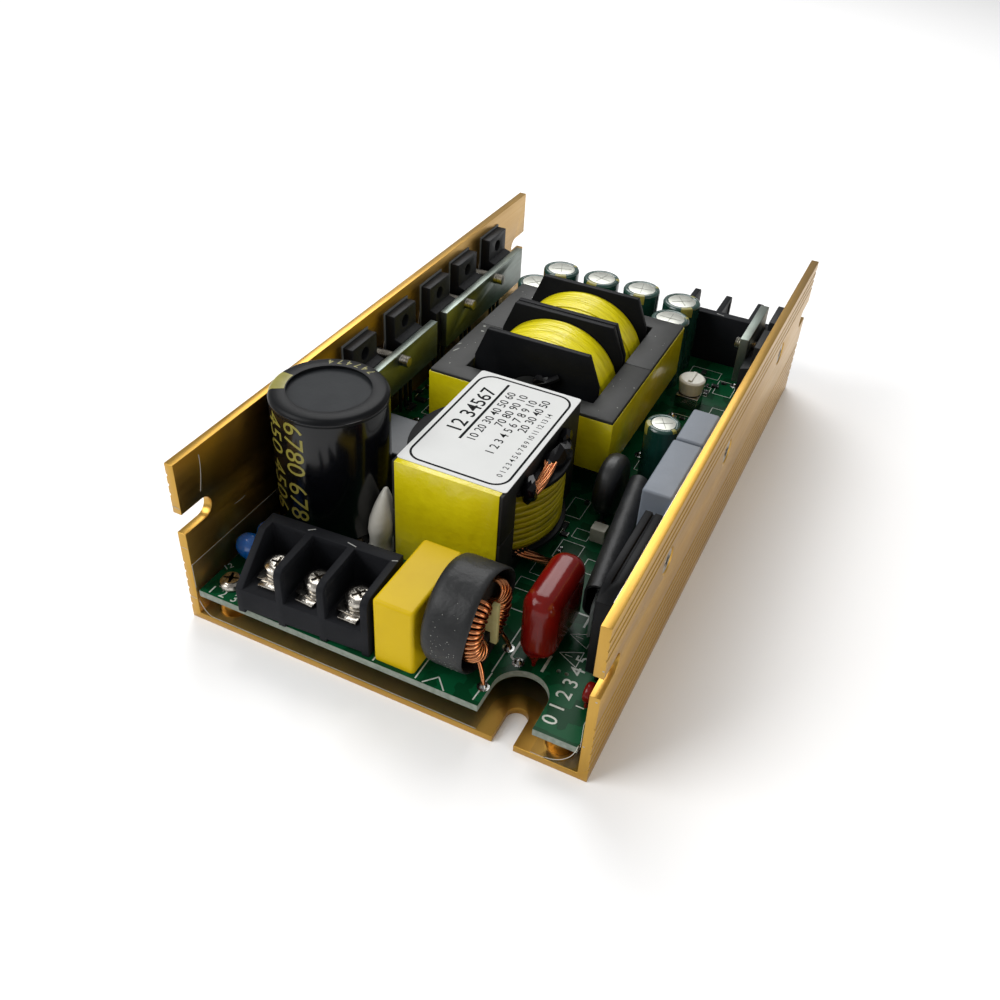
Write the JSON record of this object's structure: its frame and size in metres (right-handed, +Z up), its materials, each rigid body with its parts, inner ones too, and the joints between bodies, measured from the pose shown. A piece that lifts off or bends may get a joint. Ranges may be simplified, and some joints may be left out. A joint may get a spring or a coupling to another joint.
{
  "type": "open-frame power supply",
  "caption": "Open-frame switching power supply: board with barrier terminals, capacitors and transformer in a channel-shaped aluminium housing, with a turning trimmer knob.",
  "frame": {"origin": "centre of the housing's underside", "axes": "+Z up out of the open channel, +Y from the input terminals to the output terminals, +X to the right seen from the input end"},
  "size_m": [0.09, 0.1619, 0.0433],
  "materials": {
    "gold_anodised_aluminium": "satin anodised",
    "clear_film": "clear gloss",
    "green_board": "gloss solder mask",
    "brass": "turned",
    "nickel_plated_steel": "bright plated",
    "blackened_steel": "satin",
    "black_nylon": "fine satin",
    "yellow_polyester_case": "satin",
    "ferrite": "matt ground",
    "enamelled_copper": "gloss enamel",
    "black_shrink_sleeve": "satin shrunk film",
    "fibre_board": "matt",
    "red_epoxy": "gloss dipped",
    "black_epoxy": "dipped",
    "glass": "clear",
    "moulded_epoxy": "moulded",
    "plain_aluminium": "mill finish",
    "grey_silicone": "matt",
    "capacitor_aluminium": "satin",
    "blue_epoxy": "gloss dipped",
    "white_silicone": "satin",
    "grey_blue_case": "satin",
    "pale_case": "satin",
    "black_bobbin": "moulded",
    "yellow_tape": "polyester tape",
    "grey_pad": "matt",
    "green_capacitor_sleeve": "shrunk film",
    "trimmer_case": "satin",
    "white_plastic": "moulded"
  },
  "bodies": {
    "supply": {"housing": "gold_anodised_aluminium", "insulating_film": "clear_film", "circuit_board": "green_board", "board_standoffs": "brass", "board_screws": "nickel_plated_steel", "terminal_screws": "nickel_plated_steel", "terminal_plates": "nickel_plated_steel", "clamp_screws": "blackened_steel", "input_terminal_block": "black_nylon", "output_terminal_block": "black_nylon", "x_capacitor": "yellow_polyester_case", "choke_core": "ferrite", "inductor_core_lower": "ferrite", "inductor_core_upper": "ferrite", "transformer_core_front": "ferrite", "transformer_core_rear": "ferrite", "choke_windings": "enamelled_copper", "choke_sleeve": "black_shrink_sleeve", "fuse_sleeve": "black_shrink_sleeve", "bulk_capacitor_sleeve": "black_shrink_sleeve", "choke_divider": "fibre_board", "film_capacitor": "red_epoxy", "red_capacitor": "red_epoxy", "thermistor": "black_epoxy", "fuse": "glass", "bridge_rectifier": "moulded_epoxy", "power_devices": "moulded_epoxy", "rectifier_1": "moulded_epoxy", "rectifier_2": "moulded_epoxy", "transistor_1": "moulded_epoxy", "transistor_2": "moulded_epoxy", "transistor_3": "moulded_epoxy", "transistor_4": "moulded_epoxy", "transistor_5": "moulded_epoxy", "heat_spreader": "plain_aluminium", "clamp_bar_front": "plain_aluminium", "clamp_bar_rear": "plain_aluminium", "clamp_bar_right": "plain_aluminium", "device_caps": "grey_silicone", "bulk_capacitor": "capacitor_aluminium", "y_capacitors": "blue_epoxy", "silicone_glue": "white_silicone", "relay": "grey_blue_case", "box_capacitor": "pale_case", "inductor_bobbin": "black_bobbin", "transformer_bobbin": "black_bobbin", "inductor_winding": "yellow_tape", "inductor_tape": "yellow_tape", "transformer_windings": "yellow_tape", "transformer_tape": "yellow_tape", "insulating_pads": "grey_pad", "rear_capacitor_1": "green_capacitor_sleeve", "rear_capacitor_2": "green_capacitor_sleeve", "rear_capacitor_3": "green_capacitor_sleeve", "rear_capacitor_4": "green_capacitor_sleeve", "rear_capacitor_5": "green_capacitor_sleeve", "rear_capacitor_6": "green_capacitor_sleeve", "small_capacitor": "green_capacitor_sleeve", "trimmer_base": "trimmer_case"},
    "trimmer": {"trimmer_knob": "white_plastic"}
  },
  "joints": [
    {"name": "trimmer_turn", "type": "hinge", "parent": "supply", "child": "trimmer", "pos_m": [0.0248, 0.042, 0.0123], "axis": [0, 0, 1], "range_deg": [-135, 135]}
  ]
}
